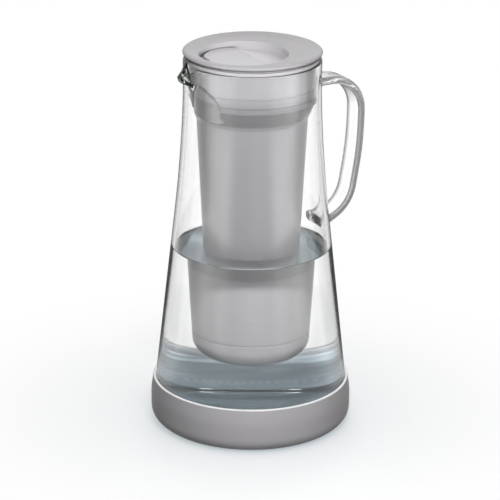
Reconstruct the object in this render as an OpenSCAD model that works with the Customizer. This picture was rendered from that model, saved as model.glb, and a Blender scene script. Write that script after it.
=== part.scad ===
// Glass filter jug with a lift-out reservoir, a lid with a flip fill flap,
// a membrane cartridge inside the reservoir and a carbon filter under it.
// Millimetres. +Z is up, +X points along the handle, -X along the spout.
// The origin is the middle of the underside, on the jug's axis.

/* [Glass jug] */
// Height of the glass rim above the table
rim_z = 263.2; // [250:0.1:285]
// Outer radius of the straight neck
neck_r = 47.5; // [46:0.1:52]
// Radius at which the cone line reaches the level of the glass underside
cone_foot_r = 70.4; // [67:0.1:74]
// Depth below the rim at which the cone line would meet the neck line
neck_drop = 55.2; // [52:0.1:65]
// Radius of the long curve between cone and neck
neck_sweep_r = 850; // [400:10:850]
// Thickness of the glass wall
glass_wall = 2.9; // [2.4:0.1:3.2]
// Thickness of the glass bottom
glass_floor = 4.5; // [3.5:0.1:8]
// Radius of the outside heel of the glass
heel_r = 12; // [8:0.5:14]
// Rounding of the two edges of the rim
rim_round = 1.1; // [0.4:0.1:1.1]

/* [Spout] */
// Radius of the spout's tip, seen from above
spout_tip_r = 3.3; // [2.8:0.1:4]
// How far the tip stands out of the neck
spout_reach = 10.2; // [8:0.1:11]
// Distance aside of the middle over which the flanks die out
spout_flank_w = 5.6; // [4:0.1:7]
// Depth over which the tip turns back into the neck
spout_turn_h = 6.2; // [5:0.1:8]
// Angle at which the lip falls from the rim to the tip
lip_fall = 26.6; // [20:0.5:30]
// Upright thickness of the glass in the spout
spout_wall = 1.4; // [1.2:0.1:1.8]

/* [Glass handle] */
// Width of the strap
handle_w = 18; // [14:0.5:22]
// Thickness of the strap
handle_t = 5.6; // [4.5:0.1:6.5]
// Rounding of the strap's edges
handle_edge_r = 2.2; // [1:0.1:2.2]
// Distance from the neck to the middle of the strap at the top
handle_out = 36.9; // [33:0.1:42]
// Depth of the top leg's centre line below the rim
handle_drop = 22; // [18:0.5:28]
// Height from the foot of the handle to its top leg
handle_h = 99.5; // [92:0.1:110]
// How much further in the strap stands at the foot than at the top
handle_lean = 10.2; // [4:0.1:13]
// Radius of the upper bend, to the middle of the strap
handle_top_bend_r = 24; // [18:0.5:27]
// Radius of the lower bend, to the middle of the strap
handle_low_bend_r = 28; // [18:0.5:30]

/* [Silicone base] */
// Height of the base
boot_h = 32.5; // [28:0.5:40]
// Thickness under the glass
boot_floor = 3; // [2:0.1:5]
// Thickness at the top edge
boot_lip_t = 1.7; // [1.2:0.1:3]
// Thickness at the widest part
boot_side_t = 2.1; // [1.9:0.1:4]
// Height of the widest part
boot_wide_z = 22; // [18:0.5:25]
// Radius of the bottom corner
boot_corner_r = 10.4; // [5:0.1:10.5]

/* [Reservoir] */
// Depth from the rim to the seam with the filter cap
reservoir_depth = 197.2; // [180:0.1:199]
// Outer radius at the seam
reservoir_foot_r = 30.5; // [29.5:0.1:31.5]
// Wall thickness of the tapered body
reservoir_wall = 2.2; // [1.8:0.1:2.4]
// Wall thickness of the collar in the neck
collar_wall = 2.6; // [2.3:0.1:3]
// Gap between the collar and the glass
collar_gap = 1.1; // [0.8:0.1:1.5]
// Thickness of the flange on the rim
flange_t = 2.1; // [1.5:0.1:3]
// How far the flange stays inside the neck's outer radius
flange_inset = 1.2; // [0.6:0.1:1.4]
// Thickness of the floor
floor_t = 2.5; // [2:0.1:3.5]
// Half angle of the pour channel in the collar
pour_half = 31; // [24:0.5:32]
// Depth of the pour channel behind the collar's face
pour_depth = 3.4; // [3.2:0.1:3.6]
// Depth from the rim to the top of the channel's arch
pour_drop = 10.2; // [9:0.1:12]
// Radius of the arch
pour_arch_r = 27.5; // [25:0.5:32]

/* [Neck gasket] */
// Height of the gasket
gasket_h = 3.3; // [2.6:0.1:4]
// Gap between the gasket's lip and the glass at rest
gasket_gap = 0.3; // [0.3:0.05:0.5]

/* [Lid] */
// Thickness of the lid's disc
lid_t = 2.2; // [2:0.1:3]
// Depth of the dished top below the lid's crest
lid_dish = 2; // [1.4:0.1:2.4]
// How far the lid overhangs the neck's outer radius
lid_over = 0.3; // [0:0.1:2]
// Thickness of the seal between lid and flange
lid_seal_t = 2.5; // [1.8:0.1:3]
// Distance from the lid's axis to the fill well's axis
well_shift = 7; // [6:0.1:9]
// Wall thickness of the fill well
well_wall = 1.8; // [1.5:0.1:2.2]
// Depth of the finger scoop below the dished top
scoop_depth = 10; // [9:0.1:11]
// Rounding inside the finger scoop
scoop_round = 8; // [4:0.5:8]
// Depth of the ring that plugs into the reservoir's mouth
plug_h = 9.3; // [6:0.1:14]

/* [Fill flap] */
// Thickness of the flap
flap_t = 2; // [1.6:0.1:2.1]
// Depth of the flap's top below the dished top
flap_drop = 4.1; // [3.8:0.1:4.4]
// Gap between the flap and its well
flap_gap = 0.4; // [0.3:0.05:0.6]
// Distance from the well's axis to the flap's free edge
flap_edge = 10.4; // [8:0.1:12]
// Width of the ledge that the flap lies on
ledge_w = 2.4; // [1.6:0.1:3]
// Half width of the flap's hinge tongue
tongue_half = 7; // [6:0.1:7.2]
// Radius of the hinge pin
pin_r = 1; // [0.8:0.05:1]
// Distance from the well's wall to the hinge pin
pin_inset = 3; // [3:0.1:3.4]

/* [Membrane cartridge] */
// Height of the slotted cage
cage_h = 74.6; // [60:0.1:90]
// Radius of the hole in the reservoir's floor
socket_r = 15; // [13:0.1:16]
// Radius of one hollow-fibre strand
fibre_r = 1.2; // [0.8:0.1:1.4]
// Distance between neighbouring strands
fibre_pitch = 3.6; // [3.2:0.1:4.5]
// Height of the resin that the strands are set in
potting_h = 10.6; // [8:0.1:14]

/* [Carbon filter and cap] */
// Height of the filter cap below the seam
cap_h = 17; // [16:0.1:20]
// Wall thickness of the filter cap's bottom
cap_floor = 2.2; // [1.6:0.1:3]
// Radius of the filter cap's bottom corner
cap_corner_r = 12.5; // [9:0.5:13]
// Length of the spigot that the cap screws on
spigot_h = 9; // [8:0.1:10]
// Wall thickness of the spigot
spigot_wall = 2.8; // [2.6:0.1:3]
// Wall thickness of the carbon cup
carbon_wall = 1.2; // [0.8:0.1:1.6]
// Radius of one outlet hole
outlet_r = 1.5; // [1:0.1:1.8]

/* [Hidden] */

glass_colour = [0.86, 0.91, 0.91, 0.35];
shell_colour = [0.71, 0.70, 0.71];
soft_colour = [0.58, 0.57, 0.57];
white_plastic = [0.92, 0.93, 0.93];
resin_colour = [0.88, 0.82, 0.66];
felt_colour = [0.85, 0.84, 0.80];
carbon_colour = [0.10, 0.10, 0.11];
steel_colour = [0.70, 0.71, 0.73];

$fn = 96;
chord_error = 0.04;     // largest distance between an arc and its chords
slip = 0.05;            // radial clearance of a running fit
free_gap = 0.3;         // clearance between pieces that turn or slide apart
step_gap = 0.4;         // clearance round a piece that drops in
beyond = 1;             // how far a cutting shape runs past the face it cuts
past_all = 60;          // larger than any thickness that a side cut removes

// Glass
cone_tan = (cone_foot_r - neck_r) / (rim_z - neck_drop - boot_floor);
bore_r = neck_r - glass_wall;
wall_slant = glass_wall * sqrt(1 + cone_tan * cone_tan);
inner_floor_z = boot_floor + glass_floor;
rim_mid_r = neck_r - glass_wall / 2;

// Spout
spout_pivot_x = neck_r - 1.3;
spout_low_z = rim_z - 19;
spout_half = 27;        // half angle of the block that carries the spout
spout_sink = 0.12;      // how far that block's skin starts inside the wall
spout_rows = 19;
spout_cols = 26;

// Handle
handle_x = neck_r + handle_out;
handle_top_z = rim_z - handle_drop;
handle_foot_z = handle_top_z - handle_h;
handle_waist_z = handle_top_z - handle_h / 2;
handle_waist_in = 1.1;
handle_waist_bend_r = 220;
handle_foot_fall = 2.2;

// Reservoir
flange_r = neck_r - flange_inset;
flange_top_z = rim_z + flange_t;
collar_r = bore_r - collar_gap;
mouth_r = collar_r - collar_wall;
seam_z = rim_z - reservoir_depth;
reservoir_floor_z = seam_z + 5.5;
body_top_r = collar_r - 5.2;
body_top_z = rim_z - 40.2;
shoulder_r = collar_r - 2.5;
shoulder_z = rim_z - 33.9;
gasket_z = rim_z - 27.1;
gasket_seat_r = collar_r - 0.9;
line_z = rim_z - 17.2;
line_h = 0.9;
line_depth = 0.5;
pour_r = collar_r - pour_depth;
pour_wall = 1.3;
pour_low_z = rim_z - 37.5;
pour_top_z = rim_z - pour_drop;
pour_roof = 1.7;
body_tan = (body_top_r - reservoir_foot_r) / (body_top_z - seam_z);

// Spigot, cap and carbon filter under the reservoir
spigot_r = reservoir_foot_r - 2.9;
spigot_in_r = spigot_r - spigot_wall;
spigot_z = seam_z - spigot_h;
seam_w = 0.7;           // shadow gap above the cap
seam_depth = 0.6;
spigot_taper = 1.6;
spigot_taper_h = 3.6;
cap_in_r = spigot_r + free_gap;
cap_r = reservoir_foot_r - 0.1;
cap_z = seam_z - cap_h;
cap_floor_z = cap_z + cap_floor;
cap_seal_section_r = 0.8;
cap_seal_r = cap_in_r - slip - cap_seal_section_r;
cap_seal_z = seam_z - 3;
carbon_r = spigot_in_r - step_gap;
carbon_z = cap_floor_z + step_gap;
carbon_corner_r = 9.5;
carbon_in_r = carbon_r - carbon_wall;
carbon_floor_z = carbon_z + carbon_wall;
carbon_cover_t = 1.2;
pad_t = 0.9;
carbon_gasket_t = 1;
socket_low_z = reservoir_floor_z - floor_t - 6;
carbon_top_z = socket_low_z - carbon_gasket_t - 0.2;
socket_wall = 2.2;

// Membrane cartridge
neck_seal_section_r = 0.95;
membrane_neck_r = socket_r - step_gap;
membrane_seal_r = socket_r - slip - neck_seal_section_r;
membrane_seal_z = reservoir_floor_z - 5.5;
membrane_bore_r = 9;
membrane_z = reservoir_floor_z + 0.5;
membrane_flange_t = 3.4;
cage_z = membrane_z + membrane_flange_t;
latch_ring_r = reservoir_foot_r - reservoir_wall - 2.5;
latch_r = latch_ring_r - step_gap;
cage_r = latch_ring_r - 3.3;
cage_wall = 2.2;
cage_in_r = cage_r - cage_wall;
latch_half = 20;
ledge_half = 25;
latch_ledge_t = 3.3;
fibre_top_z = cage_z + cage_h - 8;
window_w = 7;
window_gap = 6;
window_h = (cage_h - potting_h - 2 * window_gap) / 2;
membrane_cap_t = 3;
membrane_plug_h = 4;
grip_h = 13;
grip_half_l = 15;
grip_half_t = 2.5;
grip_round = 2;
vent_r = 2;
vent_x = 10;

// Lid
lid_r = neck_r + lid_over;
lid_under_z = flange_top_z + lid_seal_t;
lid_top_z = lid_under_z + lid_t;
lid_side_h = 1.1;
crest_in = 1.6;
plug_r = mouth_r - 0.5;
plug_wall = 1.6;
plug_cut_half = pour_half + 7;
pot_limit_r = pour_r - pour_wall - free_gap;
well_r = pot_limit_r - well_shift - 0.8;
well_out_r = well_r + well_wall;
well_edge = 0.5;
dish_r = well_shift + well_r + well_edge + 0.4;
dish_z = lid_top_z - lid_dish;
lid_low_z = dish_z - lid_t;
scoop_z = dish_z - scoop_depth;
scoop_wall = 1.8;
pot_z = scoop_z - scoop_wall;
flap_top_z = dish_z - flap_drop;
flap_z = flap_top_z - flap_t;
flap_r = well_r - flap_gap;
flap_edge_x = flap_edge - well_shift;
divider_x = flap_edge_x - 3.4;
divider_t = 1.6;
barrel_r = pin_r + 0.9;
barrel_half = tongue_half - 1;
pin_u = well_r - pin_inset;
pin_x = -well_shift - pin_u;
pin_z = flap_top_z - barrel_r;
pin_half = sqrt(pow(pot_limit_r - 0.6, 2) - pow(pin_x, 2));
boss_half_t = 2.1;
hole_bottom_z = pin_z - pin_r - 2;

// ---------------------------------------------------------------- outlines

function unit(v) = v / norm(v);
function flat(p) = [p[0], p[1]];
function bearing(v) = atan2(v[1], v[0]);
function half_turn(a) = a > 180 ? a - 360 : a < -180 ? a + 360 : a;

// The arc that rounds corner b between a and c to the radius b[2], as
// [entry point, exit point, centre, radius, start bearing, turn]
function bend(a, b, c) =
    let (
        u = unit(flat(a) - flat(b)),
        v = unit(flat(c) - flat(b)),
        half = acos(max(-1, min(1, u * v))) / 2,
        side = min(norm(flat(a) - flat(b)), norm(flat(c) - flat(b))),
        reach = min(b[2] / tan(half), 0.96 * side),
        centre = flat(b) + unit(u + v) * reach / cos(half),
        entry = flat(b) + u * reach,
        exit = flat(b) + v * reach,
        start = bearing(entry - centre)
    )
    [entry, exit, centre, reach * tan(half), start, half_turn(bearing(exit - centre) - start)];

function arc(centre, r, start, turn) =
    let (steps = max(2, ceil(abs(turn) / (2 * acos(1 - chord_error / max(r, 0.2))))))
    [for (i = [0 : steps]) centre + r * [cos(start + turn * i / steps), sin(start + turn * i / steps)]];

function corner(a, b, c) =
    len(b) == 3 ? let (k = bend(a, b, c)) arc(k[2], k[3], k[4], k[5]) : [flat(b)];

// An open path of [x, y, corner radius]; its two ends stay sharp
function rounded_path(p) = [
    flat(p[0]),
    for (i = [1 : len(p) - 2]) each corner(p[i - 1], p[i], p[i + 1]),
    flat(p[len(p) - 1])
];

// A closed outline of [x, y, corner radius]
function rounded_loop(p) =
    let (n = len(p))
    [for (i = [0 : n - 1]) each corner(p[(i + n - 1) % n], p[i], p[(i + 1) % n])];

module turned(outline) rotate_extrude() polygon(outline);

module ring(r_in, r_out, z_low, z_high) rotate_extrude()
    translate([r_in, z_low]) square([r_out - r_in, z_high - z_low]);

module ring_part(r_in, r_out, z_low, z_high, middle, half) rotate([0, 0, middle - half])
    rotate_extrude(angle = 2 * half)
        translate([r_in, z_low]) square([r_out - r_in, z_high - z_low]);

module post(r, z_low, z_high) translate([0, 0, z_low]) cylinder(r = r, h = z_high - z_low);

module seal_ring(r, section_r, z) rotate_extrude()
    translate([r, z]) circle(r = section_r, $fn = 32);

module at_well() translate([-well_shift, 0, 0]) children();

// Outer radius of the glass cone at a height
function cone_r(z) = cone_foot_r - (z - boot_floor) * cone_tan;

// Outside of the glass, from the middle of the underside to the crest of the rim
function glass_outside() = rounded_path([
    [0, boot_floor],
    [cone_foot_r, boot_floor, heel_r],
    [neck_r, rim_z - neck_drop, neck_sweep_r],
    [neck_r, rim_z, rim_round],
    [rim_mid_r, rim_z]
]);

// Inside of the glass, parallel to the outside
function glass_inside() = rounded_path([
    [0, inner_floor_z],
    [cone_r(inner_floor_z) - wall_slant, inner_floor_z, heel_r - glass_wall],
    [bore_r, rim_z - neck_drop - wall_slant * cone_tan / 2, neck_sweep_r + glass_wall],
    [bore_r, rim_z, rim_round],
    [rim_mid_r, rim_z]
]);

module glass_envelope() turned(concat(glass_outside(), [[0, rim_z]]));

module glass_cavity() turned(concat(glass_inside(),
    [[rim_mid_r, rim_z + beyond], [0, rim_z + beyond]]));

// -------------------------------------------------------------- glass parts

// How far the spout is drawn out of the neck, at a distance aside of its middle
function spout_plan(aside) = max(
    aside < spout_tip_r
        ? spout_reach - spout_tip_r + sqrt(spout_tip_r * spout_tip_r - aside * aside) : 0,
    (spout_reach - 0.8) * exp(-pow(max(0, aside - spout_tip_r / 2) / spout_flank_w, 1.35)));

// Height of the lip there
function lip_z(aside) =
    rim_z - tan(lip_fall) * (spout_plan(aside) + neck_r - spout_pivot_x);

// How far the skin stands out at a height, a given thickness in from the outside
function spout_swell(aside, z, inside) = spout_plan(aside)
    * exp(-pow(max(0, lip_z(aside) - z + inside) / spout_turn_h, 3));

// Angles from the spout's middle, closer together at the tip
function spout_angle(col) = let (t = 2 * col / spout_cols - 1)
    spout_half * (0.35 * t + 0.65 * t * t * t);

// A block from back_r, inside the wall, out to the spout's skin
module spout_block(back_r, wall_r, inside, top_z) {
    heights = [for (i = [0 : spout_rows])
        spout_low_z + (top_z - spout_low_z) * i / spout_rows];
    skin = [for (z = heights, col = [0 : spout_cols])
        let (a = spout_angle(col), aside = abs(a) * PI / 180 * neck_r,
            r = wall_r - spout_sink + spout_swell(aside, z, inside))
            [-r * cos(a), r * sin(a), z]];
    back = [for (z = heights, col = [0 : spout_cols])
        let (a = spout_angle(col)) [-back_r * cos(a), back_r * sin(a), z]];
    n = spout_cols + 1;
    b = len(skin);
    last = spout_rows * n;
    polyhedron(concat(skin, back), concat(
        [for (i = [0 : spout_rows - 1], j = [0 : spout_cols - 1], h = [0, 1])
            let (c = i * n + j) h == 0 ? [c, c + 1, c + n] : [c + 1, c + n + 1, c + n]],
        [for (i = [0 : spout_rows - 1], j = [0 : spout_cols - 1], h = [0, 1])
            let (c = b + i * n + j) h == 0 ? [c, c + n, c + 1] : [c + 1, c + n, c + n + 1]],
        [for (j = [0 : spout_cols - 1], h = [0, 1])
            h == 0 ? [j, b + j, j + 1] : [j + 1, b + j, b + j + 1]],
        [for (j = [0 : spout_cols - 1], h = [0, 1])
            let (c = last + j) h == 0 ? [c, c + 1, b + c] : [c + 1, b + c + 1, b + c]],
        [for (i = [0 : spout_rows - 1], h = [0, 1])
            let (c = i * n) h == 0 ? [c, c + n, b + c] : [c + n, b + c + n, b + c]],
        [for (i = [0 : spout_rows - 1], h = [0, 1])
            let (c = i * n + spout_cols) h == 0 ? [c, b + c, c + n] : [c + n, b + c, b + c + n]]
    ));
}

module above_lip() translate([-spout_pivot_x, 0, rim_z]) rotate([0, -lip_fall, 0])
    translate([-past_all, -past_all / 2, 0]) cube([past_all, past_all, past_all]);

module glass_jug() color(glass_colour) difference() {
    union() {
        glass_envelope();
        spout_block(rim_mid_r, neck_r, 0, rim_z);
    }
    glass_cavity();
    spout_block(bore_r - 2, bore_r, spout_wall, rim_z + beyond);
    above_lip();
}

handle_path = [
    [bore_r, handle_top_z],
    [handle_x, handle_top_z, handle_top_bend_r],
    [handle_x - handle_waist_in, handle_waist_z, handle_waist_bend_r],
    [handle_x - handle_lean, handle_foot_z, handle_low_bend_r],
    [cone_r(handle_foot_z) - glass_wall, handle_foot_z - handle_foot_fall]
];

// Corner points of the strap's section, [across the thickness, across the width]
strap_section = rounded_loop([
    for (c = [[1, 1], [-1, 1], [-1, -1], [1, -1]])
        [c[0] * handle_t / 2, c[1] * handle_w / 2, handle_edge_r]
]);

// A section carried along a path in the XZ plane
module swept(path, section) {
    last = len(path) - 1;
    n = len(section);
    points = [
        for (i = [0 : last])
            let (along = unit(path[min(i + 1, last)] - path[max(i - 1, 0)]))
                for (s = section) [path[i][0] - along[1] * s[0], s[1], path[i][1] + along[0] * s[0]]
    ];
    sides = [
        for (i = [0 : last - 1], k = [0 : n - 1])
            [i * n + k, i * n + (k + 1) % n, (i + 1) * n + (k + 1) % n, (i + 1) * n + k]
    ];
    start_face = [for (k = [n - 1 : -1 : 0]) k];
    end_face = [for (k = [0 : n - 1]) last * n + k];
    polyhedron(points, concat(sides, [start_face, end_face]));
}

module glass_handle() color(glass_colour) difference() {
    swept(rounded_path(handle_path), strap_section);
    glass_envelope();
}

module silicone_base() color(soft_colour) difference() {
    turned(rounded_path([
        [0, 0],
        [cone_r(boot_wide_z) + boot_side_t, 0, boot_corner_r],
        [cone_r(boot_wide_z) + boot_side_t, boot_wide_z, 30],
        [cone_r(boot_h) + boot_lip_t, boot_h, 0.6],
        [0, boot_h]
    ]));
    glass_envelope();
}

// ---------------------------------------------------------------- reservoir

module reservoir_solid() turned(rounded_path([
    [0, spigot_z],
    [spigot_r - spigot_taper, spigot_z, 0.4],
    [spigot_r, spigot_z + spigot_taper_h],
    [spigot_r, cap_seal_z - cap_seal_section_r],
    [cap_seal_r - cap_seal_section_r, cap_seal_z - cap_seal_section_r],
    [cap_seal_r - cap_seal_section_r, cap_seal_z + cap_seal_section_r],
    [spigot_r, cap_seal_z + cap_seal_section_r],
    [spigot_r, seam_z],
    [reservoir_foot_r - seam_depth, seam_z],
    [reservoir_foot_r - seam_depth, seam_z + seam_w],
    [reservoir_foot_r, seam_z + seam_w, 0.2],
    [body_top_r, body_top_z, 4],
    [shoulder_r, shoulder_z, 2],
    [collar_r + 0.1, gasket_z],
    [gasket_seat_r, gasket_z],
    [gasket_seat_r, gasket_z + gasket_h],
    [collar_r, gasket_z + gasket_h, 0.3],
    [collar_r, line_z],
    [collar_r - line_depth, line_z],
    [collar_r - line_depth, line_z + line_h],
    [collar_r, line_z + line_h],
    [collar_r, rim_z],
    [flange_r, rim_z, 0.4],
    [flange_r, flange_top_z, 0.5],
    [0, flange_top_z]
]));

module reservoir_hollow() turned(rounded_path([
    [0, reservoir_floor_z],
    [reservoir_foot_r + (reservoir_floor_z - seam_z) * body_tan - reservoir_wall, reservoir_floor_z, 2],
    [body_top_r - reservoir_wall, body_top_z + reservoir_wall / 2, 4],
    [shoulder_r - collar_wall, shoulder_z + collar_wall / 2, 2],
    [mouth_r, gasket_z + 0.5, 2],
    [mouth_r, flange_top_z + beyond],
    [0, flange_top_z + beyond]
]));

// Space round the socket, under the floor
module spigot_hollow() difference() {
    post(spigot_in_r, spigot_z - beyond, reservoir_floor_z - floor_t);
    post(socket_r + socket_wall, socket_low_z, reservoir_floor_z);
}

module reservoir() color(shell_colour) difference() {
    union() {
        difference() {
            reservoir_solid();
            reservoir_hollow();
            spigot_hollow();
            post(socket_r, spigot_z, reservoir_floor_z + beyond);
        }
        ring(latch_ring_r, latch_ring_r + 2.7, reservoir_floor_z - 1, cage_z + free_gap + latch_ledge_t);
        for (side = [90, 270])
            ring_part(cage_r + 0.7, latch_ring_r + 0.5, cage_z + free_gap,
                cage_z + free_gap + latch_ledge_t, side, ledge_half);
        ring_part(pour_r - pour_wall, mouth_r + 0.5, pour_low_z + 3, pour_top_z + pour_roof,
            180, pour_half + 2.5);
    }
    pour_opening();
}

// The opening that lets the water past the collar to the spout, under an arch
module pour_opening() intersection() {
    ring_part(pour_r, neck_r, pour_low_z, pour_top_z + beyond, 180, pour_half);
    translate([0, 0, pour_top_z - pour_arch_r]) rotate([0, -90, 0])
        cylinder(r = pour_arch_r, h = past_all);
}

module neck_gasket() color(soft_colour) rotate([0, 0, pour_half + 180])
    rotate_extrude(angle = 360 - 2 * pour_half) polygon(rounded_loop([
        [gasket_seat_r, gasket_z],
        [bore_r - gasket_gap, gasket_z + 0.2, 0.2],
        [bore_r - gasket_gap, gasket_z + 1.1, 0.2],
        [collar_r - 0.4, gasket_z + 1.3, 0.2],
        [collar_r - 0.4, gasket_z + gasket_h],
        [gasket_seat_r, gasket_z + gasket_h]
    ]));

module cap_seal() color(soft_colour) seal_ring(cap_seal_r, cap_seal_section_r, cap_seal_z);

// ---------------------------------------------------------------------- lid

module lid_disc() turned(rounded_path([
    [0, lid_low_z],
    [plug_r, lid_low_z],
    [plug_r, lid_under_z],
    [lid_r, lid_under_z, 0.4],
    [lid_r, lid_under_z + lid_side_h, 0.9],
    [lid_r - crest_in, lid_top_z, 1.4],
    [dish_r, dish_z, 24],
    [0, dish_z]
]));

// The pot that holds the scoop and the fill hole
module lid_pot() intersection() {
    at_well() turned(rounded_path([
        [0, pot_z],
        [well_out_r, pot_z, scoop_round + scoop_wall],
        [well_out_r, lid_low_z + lid_t / 2],
        [0, lid_low_z + lid_t / 2]
    ]));
    post(pot_limit_r, pot_z - beyond, lid_top_z);
}

module scoop_bowl() intersection() {
    at_well() turned(rounded_path([
        [0, scoop_z],
        [well_r, scoop_z, scoop_round],
        [well_r, dish_z],
        [0, dish_z]
    ]));
    translate([divider_x + divider_t, -past_all, scoop_z - beyond])
        cube([2 * past_all, 2 * past_all, past_all]);
}

// The flap's seat, with a small chamfer at its rim
module flap_seat() at_well() turned([
    [0, flap_z],
    [well_r, flap_z],
    [well_r, dish_z - well_edge],
    [well_r + well_edge + beyond, dish_z + beyond],
    [0, dish_z + beyond]
]);

module fill_hole() intersection() {
    at_well() post(well_r - ledge_w, pot_z - beyond, flap_z + beyond);
    translate([-past_all, -past_all, pot_z - beyond])
        cube([past_all + divider_x, 2 * past_all, past_all]);
}

module along_pin(r, half) translate([pin_x, 0, pin_z]) rotate([90, 0, 0])
    cylinder(r = r, h = 2 * half, center = true);

// Room for the tongue as it turns
module tongue_room() intersection() {
    at_well() post(well_r, pot_z - beyond, lid_top_z);
    along_pin(barrel_r + 0.5, tongue_half + free_gap);
}

// Bosses that carry the pin's ends, one on each side of the tongue
module pin_bosses() intersection() {
    at_well() post(well_r + well_wall / 2, hole_bottom_z, flap_top_z);
    for (side = [-1, 1])
        translate([pin_x, side * (tongue_half + free_gap + past_all / 2), pin_z])
            cube([2 * boss_half_t, past_all, 2 * barrel_r], center = true);
}

module lid() color(shell_colour) difference() {
    union() {
        difference() {
            union() {
                lid_disc();
                lid_pot();
            }
            scoop_bowl();
            flap_seat();
            fill_hole();
            tongue_room();
            translate([-past_all + divider_x - divider_t, -past_all, hole_bottom_z - past_all])
                cube([past_all, 2 * past_all, past_all]);
        }
        pin_bosses();
    }
    along_pin(pin_r, pin_half);
}

module lid_plug_ring() color(shell_colour)
    ring_part(plug_r - plug_wall, plug_r, flange_top_z - plug_h, lid_low_z, 0, 180 - plug_cut_half);

module lid_seal() color(soft_colour) turned(rounded_loop([
    [plug_r + 0.3, flange_top_z],
    [flange_r - 1.5, flange_top_z, 0.3],
    [flange_r - 1.5, lid_under_z, 0.3],
    [plug_r + 0.3, lid_under_z]
]));

module flap_hinge_pin() color(steel_colour) along_pin(pin_r, pin_half);

// The plate: a disc with a straight free edge, cut back beside its hinge tongue
// so that it clears the wall of the well as it opens
module flap_outline() {
    edge_half = sqrt(pow(flap_r, 2) - pow(flap_edge, 2));
    start = atan2(edge_half, flap_edge) + 15;
    half = rounded_path(concat(
        [[flap_edge, 0], [flap_edge, edge_half - 0.6, 8]],
        arc([0, 0], flap_r, start, 110 - start),
        [
            [9.3 - pin_u, 0.726 * well_r, 8],
            [6.3 - pin_u, 0.52 * well_r, 4],
            [6.3 - pin_u, tongue_half, 1],
            [-pin_u - 0.7, tongue_half, 3],
            [-pin_u - 0.7, 0]
        ]
    ));
    last = len(half) - 2;
    polygon(concat(
        [for (i = [1 : last]) half[i]],
        [for (i = [last : -1 : 1]) [half[i][0], -half[i][1]]]
    ));
}

module fill_flap() color(shell_colour) difference() {
    union() {
        at_well() translate([0, 0, flap_z]) linear_extrude(flap_t) flap_outline();
        along_pin(barrel_r, barrel_half);
    }
    along_pin(pin_r + slip, well_out_r);
}

// ------------------------------------------------------- membrane cartridge

module membrane_base() color(white_plastic) difference() {
    union() {
        turned([
            [membrane_bore_r, socket_low_z + 0.4],
            [membrane_neck_r, socket_low_z + 0.4],
            [membrane_neck_r, membrane_seal_z - neck_seal_section_r],
            [membrane_seal_r - neck_seal_section_r, membrane_seal_z - neck_seal_section_r],
            [membrane_seal_r - neck_seal_section_r, membrane_seal_z + neck_seal_section_r],
            [membrane_neck_r, membrane_seal_z + neck_seal_section_r],
            [membrane_neck_r, membrane_z],
            [cage_r, membrane_z],
            [cage_r, cage_z],
            [membrane_bore_r, cage_z]
        ]);
        for (side = [90, 270])
            ring_part(cage_r - 1, latch_r, membrane_z, cage_z, side, latch_half);
    }
}

module membrane_o_ring() color(soft_colour)
    seal_ring(membrane_seal_r, neck_seal_section_r, membrane_seal_z);

module membrane_potting() color(resin_colour) post(cage_in_r, cage_z, cage_z + potting_h);

// Strands stand in the resin in rings, each as far from the next as in its ring
module membrane_fibres() color(felt_colour) {
    rings = floor((cage_in_r - fibre_r - step_gap) / fibre_pitch);
    post(fibre_r, cage_z + potting_h, fibre_top_z);
    for (ring = [1 : rings], i = [0 : 6 * ring - 1])
        rotate([0, 0, 60 * i / ring]) translate([ring * fibre_pitch, 0, 0])
            post(fibre_r, cage_z + potting_h, fibre_top_z - ring);
}

module membrane_cage() color(white_plastic) difference() {
    ring(cage_in_r, cage_r, cage_z, cage_z + cage_h);
    for (angle = [0 : 45 : 315], row = [0, 1])
        rotate([0, 0, angle])
            translate([cage_in_r - cage_wall, -window_w / 2, cage_z + potting_h + window_gap + row * window_h])
                cube([3 * cage_wall, window_w, window_h - window_gap]);
}

module membrane_cap() color(white_plastic) {
    top_z = cage_z + cage_h;
    difference() {
        union() {
            turned(rounded_path([
                [0, top_z - membrane_plug_h],
                [cage_in_r - 0.1, top_z - membrane_plug_h],
                [cage_in_r - 0.1, top_z],
                [cage_r, top_z],
                [cage_r, top_z + membrane_cap_t, 1],
                [0, top_z + membrane_cap_t]
            ]));
            translate([0, 0, top_z]) linear_extrude(grip_h) polygon(rounded_loop([
                [grip_half_l, grip_half_t, grip_round],
                [-grip_half_l, grip_half_t, grip_round],
                [-grip_half_l, -grip_half_t, grip_round],
                [grip_half_l, -grip_half_t, grip_round]
            ]));
        }
        for (side = [-1, 1]) translate([0, side * vent_x, top_z - membrane_plug_h - beyond])
            cylinder(r = vent_r, h = membrane_plug_h + membrane_cap_t + 2 * beyond);
    }
}

// ------------------------------------------------------------ carbon filter

// Outlet holes on a circle
module outlet_holes(r, count, z_low, z_high) for (i = [0 : count - 1])
    rotate([0, 0, 360 * i / count]) translate([r, 0, z_low]) cylinder(r = outlet_r, h = z_high - z_low);

function carbon_inside(z_high) = rounded_path([
    [0, carbon_floor_z],
    [carbon_in_r, carbon_floor_z, carbon_corner_r - carbon_wall],
    [carbon_in_r, z_high],
    [0, z_high]
]);

module carbon_cup() color(white_plastic) difference() {
    turned(rounded_path([
        [0, carbon_z],
        [carbon_r, carbon_z, carbon_corner_r],
        [carbon_r, carbon_top_z],
        [0, carbon_top_z]
    ]));
    turned(carbon_inside(carbon_top_z + beyond));
    outlet_holes(11, 10, carbon_z - beyond, carbon_floor_z + beyond);
    outlet_holes(5, 5, carbon_z - beyond, carbon_floor_z + beyond);
}

module carbon_layer(z_low, z_high) intersection() {
    turned(carbon_inside(carbon_top_z));
    post(carbon_r, z_low, z_high);
}

module carbon_bottom_pad() color(felt_colour) carbon_layer(carbon_floor_z, carbon_floor_z + pad_t);

module carbon_media() color(carbon_colour)
    carbon_layer(carbon_floor_z + pad_t, carbon_top_z - carbon_cover_t - pad_t);

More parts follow.
